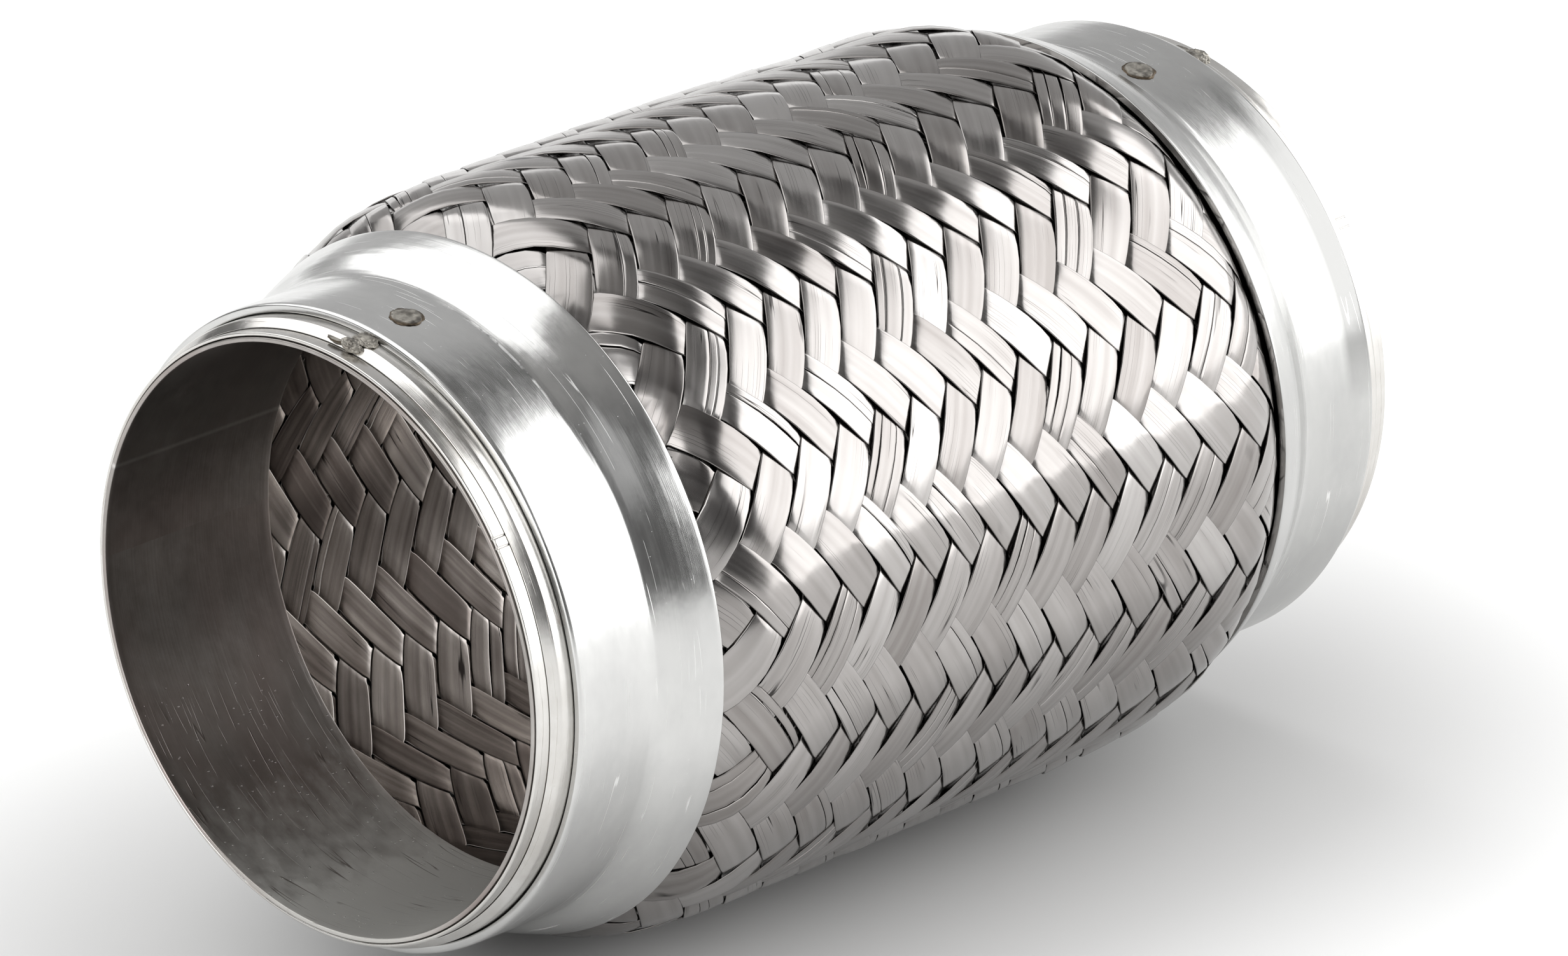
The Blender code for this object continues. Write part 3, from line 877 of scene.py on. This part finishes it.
def braid_pieces(weave, first, material, share, with_ends):
    """A braid in its seven zones. with_ends: the end zones stand for the CAD braid ends as well."""
    meshes = [tapes(weave, family, split_plan(weave, share), first, LENGTH - first)
              for family in (1, -1)]
    for zone, (start, end) in enumerate(zone_bounds(first)):
        made = cut_length("%s_zone_%d" % (weave.name, zone + 1), meshes, start, end, material)
        follow_zone(made)
        if zone < len(LENGTHS):
            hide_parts("%s_%d" % (weave.name, zone + 1))
        if with_ends and zone == 0:
            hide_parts("near_%s_end" % weave.name)
        if with_ends and zone == len(LENGTHS):
            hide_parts("far_%s_end" % weave.name)
    for mesh in meshes:
        bpy.data.meshes.remove(mesh)


braid_pieces(OUTER, OUTER_BRAID_START, OUTER_WIRE, share=0.3, with_ends=False)
braid_pieces(INNER, INNER_BRAID_START, INNER_WIRE, share=0.25, with_ends=True)


# Floor, light and camera

def floor():
    """A pale floor that glows a little, less so close to the coupling: the dimmer glow there is a painted
    shadow.
    """
    finish = Finish("pale_floor", (0.45, 0.45, 0.448), metallic=0.0, roughness=0.6)
    place = finish.node("TexCoord").outputs["Object"]
    cloud = finish.noise(place, scale=3.0)
    finish.set("Base Color", finish.mix(cloud, (0.44, 0.44, 0.438), (0.46, 0.46, 0.458)))
    split = finish.node("SeparateXYZ", {0: place})
    # How far a point is from a line under the coupling, 60 mm long
    along = finish.math("ABSOLUTE", split.outputs[0])
    beyond = finish.math("MAXIMUM", finish.math("SUBTRACT", along, 30 * MM), 0.0)
    away = finish.math("SQRT", finish.math("ADD", finish.math("POWER", beyond, 2.0),
                                           finish.math("POWER", split.outputs[1], 2.0)))
    finish.shader.inputs["Emission Color"].default_value = (1.0, 1.0, 0.995, 1.0)
    # Painted shadow: the glow fades towards the coupling, dimming the floor under and beside it
    glow_with_painted_shadow = finish.math("POWER", finish.ranged(away, 0.0, 62 * MM), 1.5)
    finish.set("Emission Strength", finish.math("MULTIPLY", glow_with_painted_shadow, 0.60))
    mesh = bpy.data.meshes.new("floor")
    half, level = 6.0, cad_low.z - 0.5 * MM
    corners = [(x * half, y * half, level) for x, y in ((-1, -1), (1, -1), (1, 1), (-1, 1))]
    mesh.from_pydata(corners, [], [(0, 1, 2, 3)])
    made = piece("floor", mesh, finish.material)


def direction(azimuth, elevation):
    """A unit vector; azimuth turns from +X towards +Y."""
    a, e = math.radians(azimuth), math.radians(elevation)
    return Vector((math.cos(a) * math.cos(e), math.sin(a) * math.cos(e), math.sin(e)))


def softbox(name, azimuth, elevation, distance, width, height, radiance):
    """A rectangular light that faces the coupling; distance and sizes are in metres."""
    light = bpy.data.lights.new(name, "AREA")
    light.shape = "RECTANGLE"
    light.size, light.size_y = width, height
    light.energy = radiance * math.pi * width * height
    made = bpy.data.objects.new(name, light)
    bpy.context.collection.objects.link(made)
    away = direction(azimuth, elevation)
    made.location = away * distance
    made.rotation_euler = away.to_track_quat("Z", "Y").to_euler()


def studio():
    """Five softboxes, and a world that is pale at the horizon and dark above it."""
    # Azimuth, elevation, distance, width, height and radiance
    softbox("key", -37, 26, 2.4, 4.0, 2.2, 2.9)
    softbox("back", 105, 53, 2.8, 3.0, 3.5, 1.7)
    softbox("side", 43, 26, 3.0, 4.4, 3.0, 0.48)
    softbox("front", -128, 44, 2.8, 1.7, 1.2, 0.42)
    softbox("mouth", -170, 25, 2.4, 2.2, 1.9, 3.1)
    world = bpy.data.worlds.new("studio")
    bpy.context.scene.world = world
    world.use_nodes = True
    tree = world.node_tree
    background = tree.nodes["Background"]
    coordinates = tree.nodes.new("ShaderNodeTexCoord")
    split = tree.nodes.new("ShaderNodeSeparateXYZ")
    ramp = tree.nodes.new("ShaderNodeValToRGB")
    tree.links.new(coordinates.outputs["Generated"], split.inputs[0])
    tree.links.new(split.outputs["Z"], ramp.inputs[0])
    tree.links.new(ramp.outputs[0], background.inputs["Color"])
    # The height of a direction: pale up to just above the horizon, dark walls, a paler ceiling
    stops = ramp.color_ramp.elements
    stops[0].position, stops[0].color = 0.05, (1.0, 1.0, 0.995, 1)
    stops[1].position, stops[1].color = 0.97, (0.36, 0.355, 0.35, 1)
    for height in (0.08, 0.8):
        stops.new(height).color = (0.10, 0.099, 0.098, 1)
    background.inputs["Strength"].default_value = 1.0


def camera():
    """The photograph's long-lens view: from the near end, a little above. The camera is moved
    a little sideways and down to frame the coupling as the photograph does.
    """
    azimuth, elevation, distance = -45.2, 22.33, 1.00125
    side, above = 2.62 * MM, -0.29 * MM
    a, e = math.radians(azimuth), math.radians(elevation)
    forward = Vector((-math.sin(a) * math.cos(e), math.cos(a) * math.cos(e), -math.sin(e)))
    right = forward.cross(Vector((0, 0, 1))).normalized()
    up = right.cross(forward)
    lens = bpy.data.cameras.new("camera")
    lens.sensor_width, lens.lens = 36.0, 271.9
    made = bpy.data.objects.new("camera", lens)
    bpy.context.collection.objects.link(made)
    made.location = -forward * distance + right * side + up * above
    made.rotation_euler = forward.to_track_quat("-Z", "Y").to_euler()
    bpy.context.scene.camera = made


floor()
studio()
camera()
bpy.context.scene.view_settings.view_transform = "Standard"
